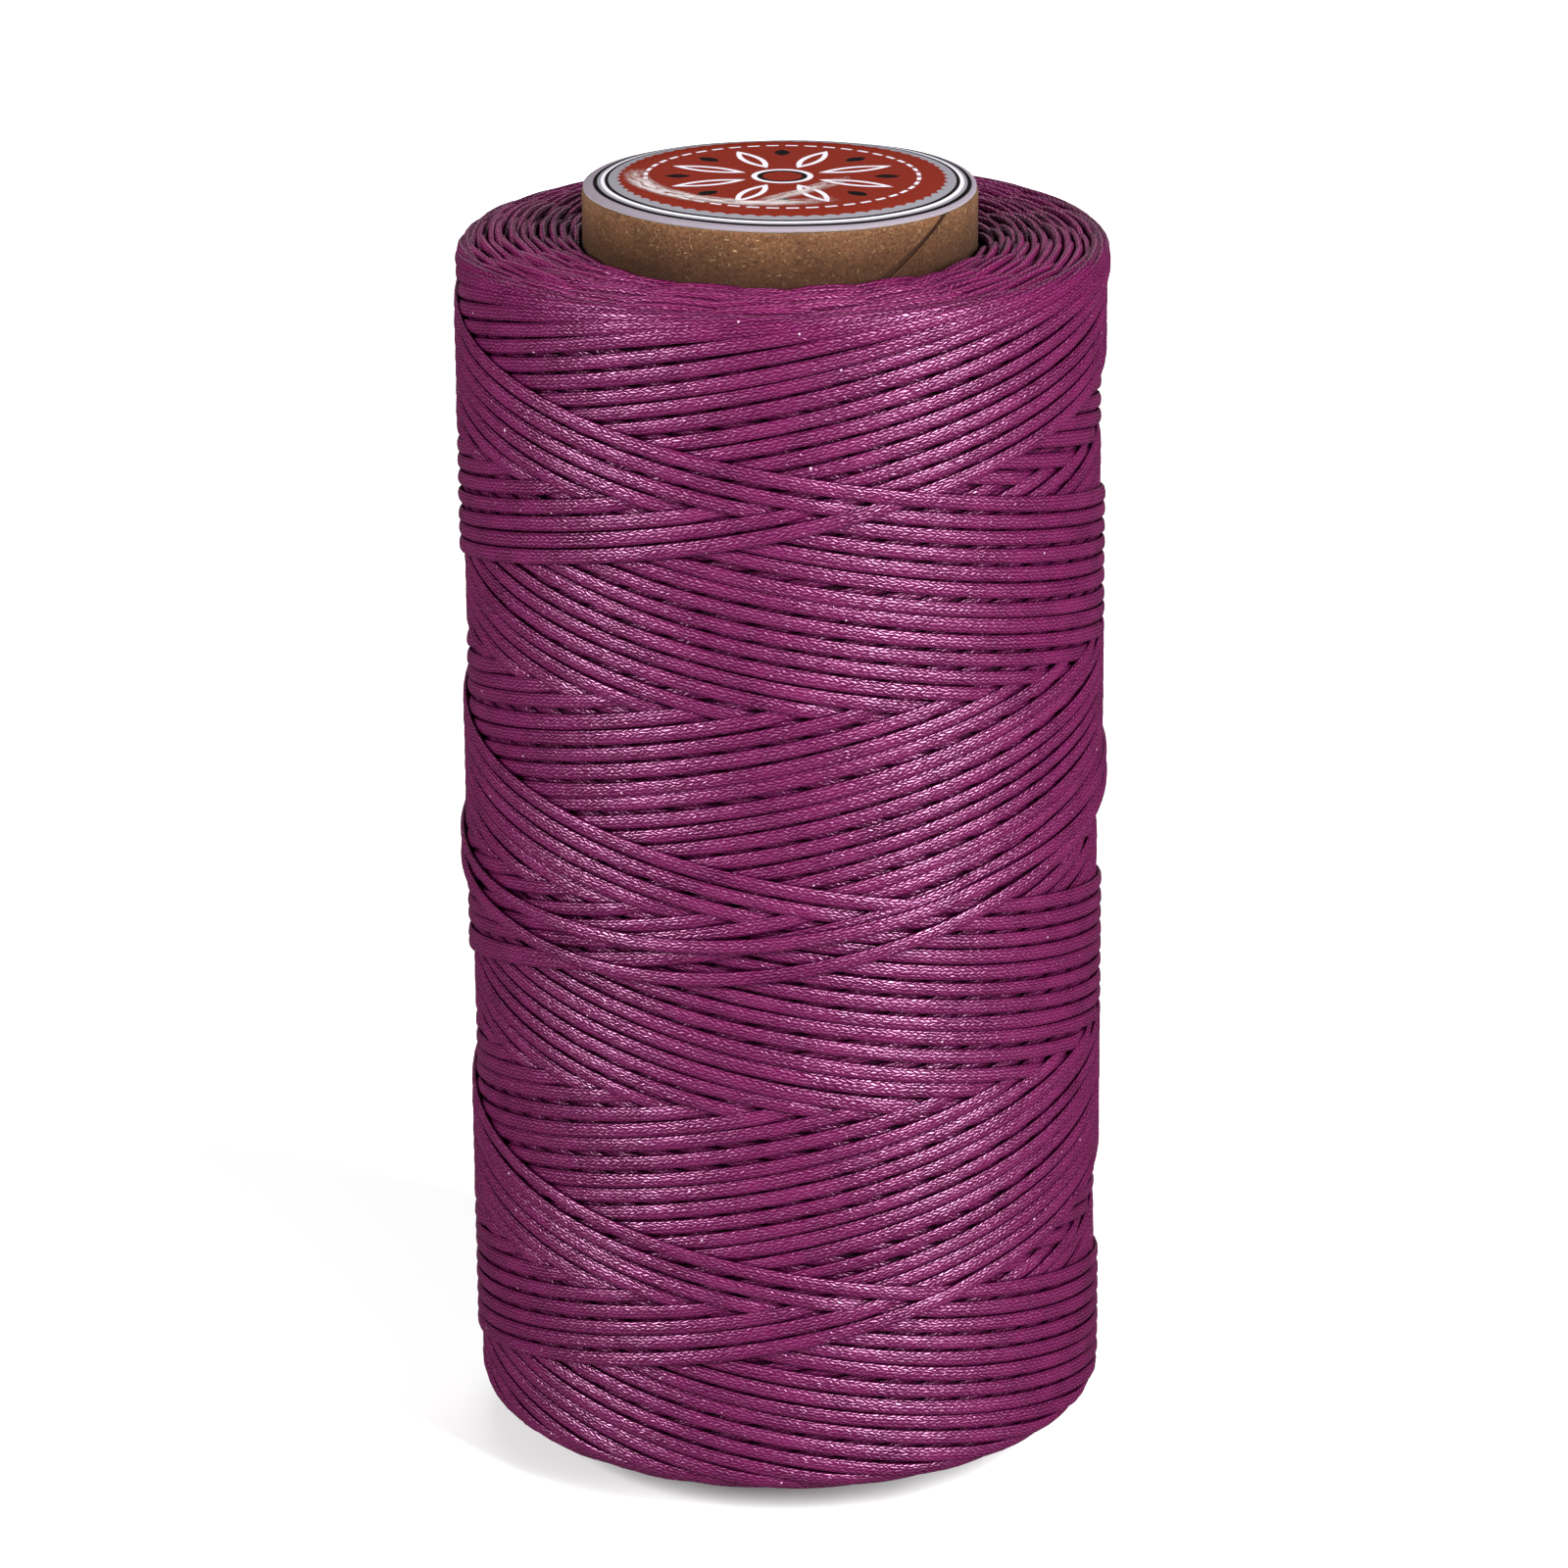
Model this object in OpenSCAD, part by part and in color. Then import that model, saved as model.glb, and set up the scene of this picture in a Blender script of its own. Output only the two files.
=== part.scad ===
// Spool of flat waxed thread, cross-wound on a spiral-wound cardboard tube, with a
// round label over the tube's top end. Millimetres, +Z up, and the origin is the
// centre of the tube's bottom end. The front is towards -Y.

/* [Core tube] */
// Outside diameter of the cardboard tube
core_od = 25; // [20:0.5:30]
// Length of the tube
core_len = 83.5; // [60:0.5:120]
// Thickness of the ply that lines the bore
inner_ply_t = 0.5; // [0.3:0.1:1]
// Thickness of the laminated ply in the middle of the wall
middle_ply_t = 1; // [0.5:0.1:2]
// Thickness of the ply that shows on the outside
outer_ply_t = 0.5; // [0.3:0.1:1]
// Width of the butt seam in the outer ply, square to the seam
seam_gap = 0.25; // [0.2:0.05:0.6]
// Height that the seam climbs in one turn
seam_lead = 48; // [36:1:80]
// Angle from the front, to the right, at which the seam reaches the tube's top
seam_top_angle = 55; // [0:5:355]

/* [Winding] */
// Outside diameter of the winding
pack_d = 41.5; // [38:0.5:60]
// Bare tube below the winding
bare_bottom = 2.7; // [1:0.1:8]
// Bare tube above the winding's top edge
bare_top = 3.1; // [1:0.1:8]
// Height by which the top face swells above its edges
crown = 0.45; // [0.1:0.05:0.8]
// Radius of the winding's top outer edge
top_shoulder = 0.7; // [0.3:0.1:2]
// Radius of the winding's bottom outer edge
bottom_shoulder = 1.6; // [0.3:0.1:2]

/* [Thread] */
// Width of the flat thread
thread_w = 1; // [0.6:0.1:1.5]
// Thickness of the flat thread
thread_t = 0.35; // [0.2:0.05:0.6]
// Clear space where a climbing pass and a falling pass cross
pass_gap = 0.45; // [0.42:0.01:0.6]
// Clear space between the tube and the winding's first turns
core_gap = 0.1; // [0.05:0.05:0.3]
// Clear space between the outermost layer and the winding under it
layer_gap = 0.1; // [0.05:0.05:0.3]
// How far the outermost layer turns round inside the winding's edges
turn_inset = 0.4; // [0.3:0.1:2]
// Trips up and down that the outermost layer makes
trips = 4; // [2:1:4]
// Radius at which each end of the layer bends inwards
tuck_bend = 0.45; // [0.35:0.05:0.6]
// Clear space round an end in the hole that it is tucked into
tuck_gap = 0.1; // [0.05:0.05:0.3]

/* [Label] */
// How far the label's edge stays inside the tube's edge
label_margin = 0.1; // [0:0.05:1]
// Thickness of the printed paper
label_paper_t = 0.15; // [0.1:0.05:0.4]
// Thickness of the clear film over it
label_film_t = 0.05; // [0.05:0.05:0.2]

/* [Hidden] */

round_fn = 96;
front = -90;            // angle of the front about +Z
over = 1;               // how far a cut runs past the face that it opens

// Radii of the tube's plies
core_r = core_od / 2;
outer_ply_r = core_r - outer_ply_t;
middle_ply_r = outer_ply_r - middle_ply_t;
bore_r = middle_ply_r - inner_ply_t;

// The winding's edges
first_turn_r = core_r + core_gap;
pack_top = core_len - bare_top;
shoulder_steps = 6;
crown_steps = 10;

// The outermost layer: rings of six corners, 24 to a turn
rings_per_turn = 24;
ring_step = 360 / rings_per_turn;
sagitta = pack_d / 2 * (1 - cos(ring_step / 2));
high_r = pack_d / 2 - thread_t / 2;
low_r = high_r - thread_t - pass_gap - sagitta;
heart_r = low_r - thread_t / 2 - sagitta - layer_gap;
trip_deg = 360 * (6 - 1 / trips);
pass_deg = trip_deg / 2;
turn_deg = 30;          // half of the stretch in which a pass turns round at an end
low_z = bare_bottom + turn_inset + thread_w / 2;
high_z = pack_top - turn_inset - thread_w / 2;
rise = (high_z - low_z) / (pass_deg - turn_deg);
layer_start = 15;       // angle about +Z of the first turn-round at the bottom
first_deg = ring_step;
last_deg = trips * trip_deg;
bend_steps = 3;
thread_corners = [
    [thread_w / 2, 0], [thread_w / 4, thread_t / 2], [-thread_w / 4, thread_t / 2],
    [-thread_w / 2, 0], [-thread_w / 4, -thread_t / 2], [thread_w / 4, -thread_t / 2]
];

// ---- Helpers ----

function unit(v) = v / norm(v);
function clamp01(u) = max(0, min(1, u));
function smooth(u) = let (v = clamp01(u)) v * v * (3 - 2 * v);
function around(r, a, z) = [r * cos(a), r * sin(a), z];

// A closed skin over rings that all have the same number of points, each ring
// counter-clockwise about the direction of travel.
module skin(rings) {
    n = len(rings[0]);
    last = len(rings) - 1;
    points = [for (ring = rings, p = ring) p];
    sides = [for (i = [0:last - 1], j = [0:n - 1])
        let (k = (j + 1) % n, a = i * n + j, b = a + n, c = (i + 1) * n + k, d = i * n + k)
        each [[a, b, c], [a, c, d]]];
    start_cap = [for (j = [1:n - 2]) [0, j, j + 1]];
    end_cap = [for (j = [1:n - 2]) [last * n, last * n + j + 1, last * n + j]];
    polyhedron(points, concat(sides, start_cap, end_cap));
}

// ---- Core tube ----

module ply(r_in, r_out) {
    difference() {
        cylinder(r = r_out, h = core_len, $fn = round_fn);
        translate([0, 0, -over]) cylinder(r = r_in, h = core_len + 2 * over, $fn = round_fn);
    }
}

// The space of the butt seam: a blade that winds round with the strip's edge.
module seam_blade() {
    climb = atan(seam_lead / (2 * PI * core_r));
    half_angle = seam_gap / sin(climb) / 2 / core_r * 180 / PI;
    steps = ceil((core_len + 2 * over) / seam_lead * rings_per_turn * 2);
    skin([for (i = [0:steps])
        let (z = -over + i * (core_len + 2 * over) / steps,
             a = front + seam_top_angle - (core_len - z) / seam_lead * 360)
        [around(outer_ply_r - over, a - half_angle, z), around(core_r + over, a - half_angle, z),
         around(core_r + over, a + half_angle, z), around(outer_ply_r - over, a + half_angle, z)]]);
}

module core_inner_ply() {
    color("#b59668") ply(bore_r, middle_ply_r);
}

module core_middle_ply() {
    color("#a88759") ply(middle_ply_r, outer_ply_r);
}

module core_outer_ply() {
    color("#93704a") difference() {
        ply(outer_ply_r, core_r);
        seam_blade();
    }
}

// ---- Winding ----

// Half of the section of the winding's inner turns, from the tube outwards.
function heart_outline() =
    let (span = heart_r - top_shoulder - first_turn_r)
    concat(
        [[first_turn_r, bare_bottom]],
        [for (i = [0:shoulder_steps])
            let (a = -90 + 90 * i / shoulder_steps)
            [heart_r - bottom_shoulder + bottom_shoulder * cos(a),
             bare_bottom + bottom_shoulder + bottom_shoulder * sin(a)]],
        [for (i = [0:shoulder_steps])
            let (a = 90 * i / shoulder_steps)
            [heart_r - top_shoulder + top_shoulder * cos(a),
             pack_top - top_shoulder + top_shoulder * sin(a)]],
        [for (i = [1:crown_steps])
            let (u = i / crown_steps)
            [first_turn_r + span * (1 - u), pack_top + crown * 4 * u * (1 - u)]]);

// Everything under the outermost layer, with a hole for each of that layer's ends.
module thread_pack() {
    color("#6f2257") difference() {
        rotate_extrude($fn = round_fn) polygon(heart_outline());
        tuck_hole(first_deg, -1);
        tuck_hole(last_deg, 1);
    }
}

// How far the winding's side is drawn in at a height, by its rounded edges.
function rounded(r, d) = d > 0 ? r - sqrt(r * r - d * d) : 0;
function drawn_in(z) =
    rounded(bottom_shoulder, bare_bottom + bottom_shoulder - z)
    + rounded(top_shoulder, z - pack_top + top_shoulder);

// Degrees turned since the last turn-round at the bottom.
function trip_part(a) = a % trip_deg;

// Height of the thread's centre: it climbs and falls steadily and turns round on a parabola.
function height(a) =
    let (m = trip_part(a),
         s = m < pass_deg ? m : trip_deg - m,
         d = min(s, pass_deg - s),
         eased = d < turn_deg ? (d * d / turn_deg + turn_deg) / 2 : d)
    s < pass_deg / 2
        ? low_z + rise * (eased - turn_deg / 2)
        : high_z - rise * (eased - turn_deg / 2);

// Radius of the thread's centre: climbing passes lie low, falling passes lie over them,
// and the thread changes over in the half turn-round before each end.
function radius(a) =
    let (m = trip_part(a),
         raised = smooth((m - pass_deg + turn_deg) / turn_deg),
         lowered = smooth((m - trip_deg + turn_deg) / turn_deg))
    low_r + (high_r - low_r) * (raised - lowered) - drawn_in(height(a));

function outward(a) = around(1, layer_start + a, 0);
function centre(a) = around(radius(a), layer_start + a, height(a));
function travel(a) = unit(centre(a + ring_step / 2) - centre(a - ring_step / 2));
function across(a) = unit(cross(outward(a), travel(a)));
function thickness(a) = cross(travel(a), across(a));
function section(c, wide, thick) = [for (p = thread_corners) c + wide * p.x + thick * p.y];

// Where an end's straight run stands: side is -1 at the layer's start and 1 at its end.
function tuck_axis(a, side) = centre(a) - tuck_bend * (outward(a) - side * travel(a));
function tuck_length(a, side) =
    norm([tuck_axis(a, side).x, tuck_axis(a, side).y]) - heart_r + drawn_in(height(a)) + thread_w;

// An end's rings, from the path inwards: a quarter bend and a straight run.
function tuck(a, side) = concat(
    [for (i = [1:bend_steps])
        let (b = 90 * i / bend_steps,
             out = thickness(a) * cos(b) + side * travel(a) * sin(b))
        section(centre(a) - tuck_bend * thickness(a) + tuck_bend * out, across(a), out)],
    [section(tuck_axis(a, side) - outward(a) * tuck_length(a, side), across(a), side * travel(a))]);

function reversed(list) = [for (i = [len(list) - 1:-1:0]) list[i]];

layer_rings = concat(
    reversed(tuck(first_deg, -1)),
    [for (a = [first_deg:ring_step:last_deg]) section(centre(a), across(a), thickness(a))],
    tuck(last_deg, 1));

// The least gap of the layer to itself, between points on stretches that lie half a turn
// or more apart along the thread.
samples = 8;
function middle(i) = (layer_rings[i][0] + layer_rings[i][3] + layer_rings[i + 1][0] + layer_rings[i + 1][3]) / 4;
function stretch(i) = [for (k = [0:samples - 1], j = [0:5])
    layer_rings[i][j] + (layer_rings[i + 1][j] - layer_rings[i][j]) * k / samples];
function least_gap() =
    let (stretches = len(layer_rings) - 1,
         middles = [for (i = [0:stretches - 1]) middle(i)],
         reach = pack_d / 2 * ring_step * PI / 180 + thread_w)
    min([for (i = [0:stretches - 1])
        let (near = [for (j = [i + rings_per_turn / 2:1:stretches - 1])
            if (norm(middles[i] - middles[j]) < reach) j])
        if (len(near) > 0)
            let (here = stretch(i))
            min([for (j = near, q = stretch(j), p = here) norm(p - q)])]);

module tuck_hole(a, side) {
    translate(tuck_axis(a, side) - outward(a) * tuck_length(a, side))
        rotate([0, 90, layer_start + a])
            cylinder(r = thread_w / 2 + tuck_gap, h = thread_w + over, $fn = round_fn / 4);
}

module thread_outer_layer() {
    echo("turns in the outer layer", trips * trip_deg / 360, "least gap to itself in mm", least_gap());
    color("#8c2e6e") skin(layer_rings);
}

// ---- Label ----

module label_paper() {
    color("#b03a2a") translate([0, 0, core_len])
        cylinder(r = core_r - label_margin, h = label_paper_t, $fn = round_fn);
}

module label_film() {
    color("#e6e4e8", 0.5) translate([0, 0, core_len + label_paper_t])
        cylinder(r = core_r - label_margin, h = label_film_t, $fn = round_fn);
}

core_inner_ply();
core_middle_ply();
core_outer_ply();
thread_pack();
thread_outer_layer();
label_paper();
label_film();
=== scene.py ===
"""A spool of flat waxed thread, cross-wound on a cardboard tube that a round label closes.

Lengths are in millimetres and angles in degrees until a mesh is made, which is in metres.
A bearing is an angle about the tube, from the front and towards +X.
"""
import math

import bpy
import numpy as np
from mathutils import Matrix


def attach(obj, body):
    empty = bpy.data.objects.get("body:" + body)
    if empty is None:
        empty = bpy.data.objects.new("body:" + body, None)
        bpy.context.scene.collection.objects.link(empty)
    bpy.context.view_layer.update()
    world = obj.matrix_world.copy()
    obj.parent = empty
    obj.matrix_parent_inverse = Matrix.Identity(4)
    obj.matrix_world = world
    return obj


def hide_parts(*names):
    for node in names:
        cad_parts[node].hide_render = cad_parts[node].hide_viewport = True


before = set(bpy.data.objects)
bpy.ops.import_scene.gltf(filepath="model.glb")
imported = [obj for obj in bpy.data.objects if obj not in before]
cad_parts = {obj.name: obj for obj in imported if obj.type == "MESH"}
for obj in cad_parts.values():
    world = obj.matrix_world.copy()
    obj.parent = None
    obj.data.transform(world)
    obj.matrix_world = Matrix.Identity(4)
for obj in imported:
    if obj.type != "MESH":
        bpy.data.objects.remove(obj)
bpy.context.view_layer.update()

MM = 0.001
rng = np.random.default_rng(41)

# ---- The winding's numbers ----

LEAD = 26.3  # height that a turn climbs
SLOPE = LEAD / 360
CLOSING = 23.5  # trips, up and down, after which the threads lie side by side all round
SHIFT = 360 / CLOSING  # how far the pattern moves round on each trip
TRIP = 6 * 360 + SHIFT
OLDEST_TRIP = 24  # the trips before it lie hidden
PEAK_DEG, PEAK_Z = 202.0, 81.7  # where the newest trip's straight passes would meet at the top
VALLEY_Z = PEAK_Z - SLOPE * TRIP / 2
TOP_TURN, BOTTOM_TURN = 46.0, 24.0  # half of the stretch in which a pass turns round
CREST_R = 20.92  # outer surface where the newest passes cross
STEP_T = 0.32  # what one family of passes adds to the radius
THREAD_W, THREAD_T = 0.95, 0.41
THREAD_CORNERS, THREAD_POWER = 12, 2.25  # of the flattened oval that is its section
STRIP = 110  # steps along the thread that lie in one strip of the map for baking
HANG = 3.66  # length that a taut thread hangs free after it leaves a step
PACK_TOP, PACK_BOTTOM = 80.4, 2.7
TOP_SHOULDER, BOTTOM_SHOULDER = 0.66, 1.6
FACE_CROWN = 0.45
TUBE_R, TUBE_LEN = 12.5, 83.5
FACE_IN, FACE_OUT = 12.6, 20.0
RING_STEP = 0.68  # from one ring of a face's turn-rounds to the next
LOOP_REACH = 28.0  # half of the stretch that a turn-round shows for
LOOPS = 24  # turn-rounds in a ring
LOOP_W, LOOP_T = 0.88, 0.54  # width and thickness of its thread, which stands on edge
LAST_PASS = 1412.0  # how far the last, partial pass goes


def smooth(u):
    v = np.clip(u, 0, 1)
    return v * v * (3 - 2 * v)


# ---- Mesh helpers ----


def make_mesh(name, verts, faces, sizes, maps=None, body="root", slot=None, replaces=(),
              material=None, smooth_faces=True):
    """A piece from vertices in mm, the faces' corners in one flat list and each face's number
    of corners. maps holds UV maps, a row for each corner."""
    mesh = bpy.data.meshes.new(name)
    verts = np.asarray(verts, np.float64) * MM
    faces = np.asarray(faces, np.int32)
    sizes = np.asarray(sizes, np.int32)
    mesh.vertices.add(len(verts))
    mesh.vertices.foreach_set("co", verts.astype(np.float32).ravel())
    mesh.loops.add(len(faces))
    mesh.loops.foreach_set("vertex_index", faces)
    mesh.polygons.add(len(sizes))
    starts = np.concatenate([[0], np.cumsum(sizes)[:-1]]).astype(np.int32)
    mesh.polygons.foreach_set("loop_start", starts)
    mesh.polygons.foreach_set("loop_total", sizes)
    mesh.polygons.foreach_set("use_smooth", np.full(len(sizes), smooth_faces))
    mesh.update(calc_edges=True)
    for key, uv in (maps or {}).items():
        layer = mesh.uv_layers.new(name=key)
        layer.uv.foreach_set("vector", np.asarray(uv, np.float32).ravel())
    mesh.validate()
    piece = bpy.data.objects.new(name, mesh)
    bpy.context.scene.collection.objects.link(piece)
    if material is not None:
        mesh.materials.append(material)
    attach(piece, body)
    if replaces:
        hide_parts(*replaces)
    return piece


def grid_faces(rows, cols, wrap=True):
    """Corners of the quads between rows of points, counter-clockwise from outside where a row
    runs counter-clockwise about the direction of the rows."""
    i = np.arange(rows - 1)[:, None]
    j = np.arange(cols if wrap else cols - 1)[None, :]
    k = (j + 1) % cols
    a, b, c, d = i * cols + j, i * cols + k, (i + 1) * cols + k, (i + 1) * cols + j
    return np.stack(np.broadcast_arrays(a, b, c, d), -1).reshape(-1, 4)


def oval(corners, power):
    """A flattened oval, from the edge at +1 across and counter-clockwise."""
    a = 2 * np.pi * np.arange(corners) / corners
    point = np.stack([np.cos(a), np.sin(a)], 1)
    return np.sign(point) * np.abs(point) ** (2 / power)


def unit(v):
    return v / np.linalg.norm(v, axis=-1, keepdims=True)


def strands(name, centre, out, half_w, half_t, section, roll=None, strip=None, start=0.0, **made):
    """Tubes along rows of points, all rows alike in number. centre and out are (rows, points, 3):
    the path and the direction that the flat side faces. The pattern's map runs in mm along
    the thread and from 0 to 1 round it. The map for baking lays strips side by side."""
    rows, points = centre.shape[:2]
    corners = len(section)
    travel = unit(np.gradient(centre, axis=1))
    across = unit(np.cross(out, travel))
    thick = np.cross(travel, across)
    if roll is not None:
        c, s = np.cos(roll)[..., None], np.sin(roll)[..., None]
        across, thick = across * c + thick * s, thick * c - across * s
    x = (half_w[..., None] * section[:, 0])[..., None]
    y = (half_t[..., None] * section[:, 1])[..., None]
    verts = centre[:, :, None] + x * across[:, :, None] + y * thick[:, :, None]
    quads = grid_faces(points, corners)
    offsets = (np.arange(rows) * points * corners)[:, None, None]
    quads = (quads[None] + offsets).reshape(-1, 4)
    first = (np.arange(corners)[None] + offsets[:, 0]).reshape(-1, corners)[:, ::-1]
    last = (np.arange(corners)[None] + offsets[:, 0] + (points - 1) * corners).reshape(-1, corners)
    step = np.linalg.norm(np.diff(centre, axis=1), axis=2)
    along = np.concatenate([np.zeros((rows, 1)), np.cumsum(step, axis=1)], 1)
    if rows > 1:
        along = along + rng.uniform(0, 500, (rows, 1))
    along = along + start
    i, j = np.meshgrid(np.arange(points - 1), np.arange(corners), indexing="ij")
    ends = np.stack([i, i, i + 1, i + 1], -1)
    sides = np.stack([j, j + 1, j + 1, j], -1)
    u = along[:, ends]
    # Equal steps of the pattern's map are equal lengths round the section
    hoop = np.concatenate([section, section[:1]]) * [half_w.mean(), half_t.mean()]
    hoop = np.concatenate([[0], np.cumsum(np.linalg.norm(np.diff(hoop, axis=0), axis=1))])
    hoop = hoop / hoop[-1]
    v = np.broadcast_to(hoop[sides], u.shape)
    lay = np.stack([u, v], -1).reshape(-1, 2)
    strip = strip or points - 1
    per_row = math.ceil((points - 1) / strip)
    count = rows * per_row
    at = np.arange(rows)[:, None, None, None] * per_row + (i // strip)[None, ..., None]
    end_margin, side_margin = 0.002, 0.04
    bu = end_margin + (1 - 2 * end_margin) * (ends - (i // strip * strip)[..., None]) / strip
    bv = side_margin + (1 - 2 * side_margin) * np.broadcast_to(sides / corners, u.shape)
    bv = (at + bv) / count
    bake = np.stack([np.broadcast_to(bu, u.shape), bv], -1).reshape(-1, 2)
    caps = np.concatenate([first.ravel(), last.ravel()])
    cap_lay = np.stack([np.repeat(np.concatenate([along[:, 0], along[:, -1]]), corners),
                        np.tile(np.arange(corners) / corners, 2 * rows)], 1)
    # On the map for baking a cap is a small oval in the middle of its strip
    cap_w, cap_h = 0.002, 0.3
    ring = oval(corners, 2)
    first_strip = np.arange(rows) * per_row
    spot = (np.concatenate([first_strip, first_strip + per_row - 1]) + 0.5) / count
    cap_bake = np.stack([0.5 + cap_w * ring[:, 0] + 0 * spot[:, None],
                         spot[:, None] + cap_h / count * ring[:, 1]], -1).reshape(-1, 2)
    faces = np.concatenate([quads.ravel(), caps])
    sizes = np.concatenate([np.full(len(quads), 4), np.full(2 * rows, corners)])
    maps = {"lay": np.concatenate([lay, cap_lay]), "OFBake": np.concatenate([bake, cap_bake])}
    return make_mesh(name, verts.reshape(-1, 3), faces, sizes, maps, **made)


def around(r, bearing, z):
    """Points at that radius, bearing and height."""
    a = np.radians(bearing)
    return np.stack([r * np.sin(a), -r * np.cos(a), z + 0 * r], -1)


def outward(bearing, lean):
    """Directions away from the tube's axis, leaning up by an angle in radians."""
    a = np.radians(bearing)
    return np.stack([np.sin(a) * np.cos(lean), -np.cos(a) * np.cos(lean), np.sin(lean)], -1)


# ---- Material helpers ----


def node(tree, kind, inputs=None, **settings):
    made = tree.nodes.new(kind)
    for key, value in settings.items():
        setattr(made, key, value)
    for key, value in (inputs or {}).items():
        if isinstance(value, bpy.types.NodeSocket):
            tree.links.new(value, made.inputs[key])
        else:
            made.inputs[key].default_value = value
    return made


def calc(tree, operation, *values):
    return node(tree, "ShaderNodeMath", dict(enumerate(values)), operation=operation).outputs[0]


def blend(tree, factor, a, b):
    made = node(tree, "ShaderNodeMix", data_type="RGBA")
    for index, value in ((0, factor), (6, a), (7, b)):
        if isinstance(value, bpy.types.NodeSocket):
            tree.links.new(value, made.inputs[index])
        else:
            made.inputs[index].default_value = value
    return made.outputs[2]


def noise(tree, vector, scale, detail=2.0, rough=0.5):
    return node(tree, "ShaderNodeTexNoise", {"Vector": vector, "Scale": scale, "Detail": detail,
                                             "Roughness": rough}).outputs["Fac"]


def scaled(tree, vector, factors):
    return node(tree, "ShaderNodeVectorMath", {0: vector, 1: factors},
                operation="MULTIPLY").outputs[0]


def length(tree, x, y):
    squares = calc(tree, "ADD", calc(tree, "MULTIPLY", x, x), calc(tree, "MULTIPLY", y, y))
    return calc(tree, "SQRT", squares)


def remap(tree, value, low, high, to_low=0.0, to_high=1.0):
    return node(tree, "ShaderNodeMapRange", {"Value": value, "From Min": low, "From Max": high,
                                             "To Min": to_low, "To Max": to_high}).outputs[0]


def new_material(name, **values):
    made = bpy.data.materials.new(name)
    made.use_nodes = True
    shader = made.node_tree.nodes["Principled BSDF"]
    for key, value in values.items():
        shader.inputs[key.replace("_", " ")].default_value = value
    return made, made.node_tree, shader


def colour(r, g, b):
    """Linear colour from sRGB values of 0 to 255."""
    c = np.array([r, g, b]) / 255
    c = np.where(c <= 0.04045, c / 12.92, ((c + 0.055) / 1.055) ** 2.4)
    return (*map(float, c), 1.0)


BRAID = 0.54  # length of one stitch of the braid
BRAID_ROWS = 10  # round the thread
BRAID_SLANT = 1.05  # stitches by which a row leans from one edge to the other
WRAP_R = 0.36  # radius at which noise is wrapped round the thread


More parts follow.
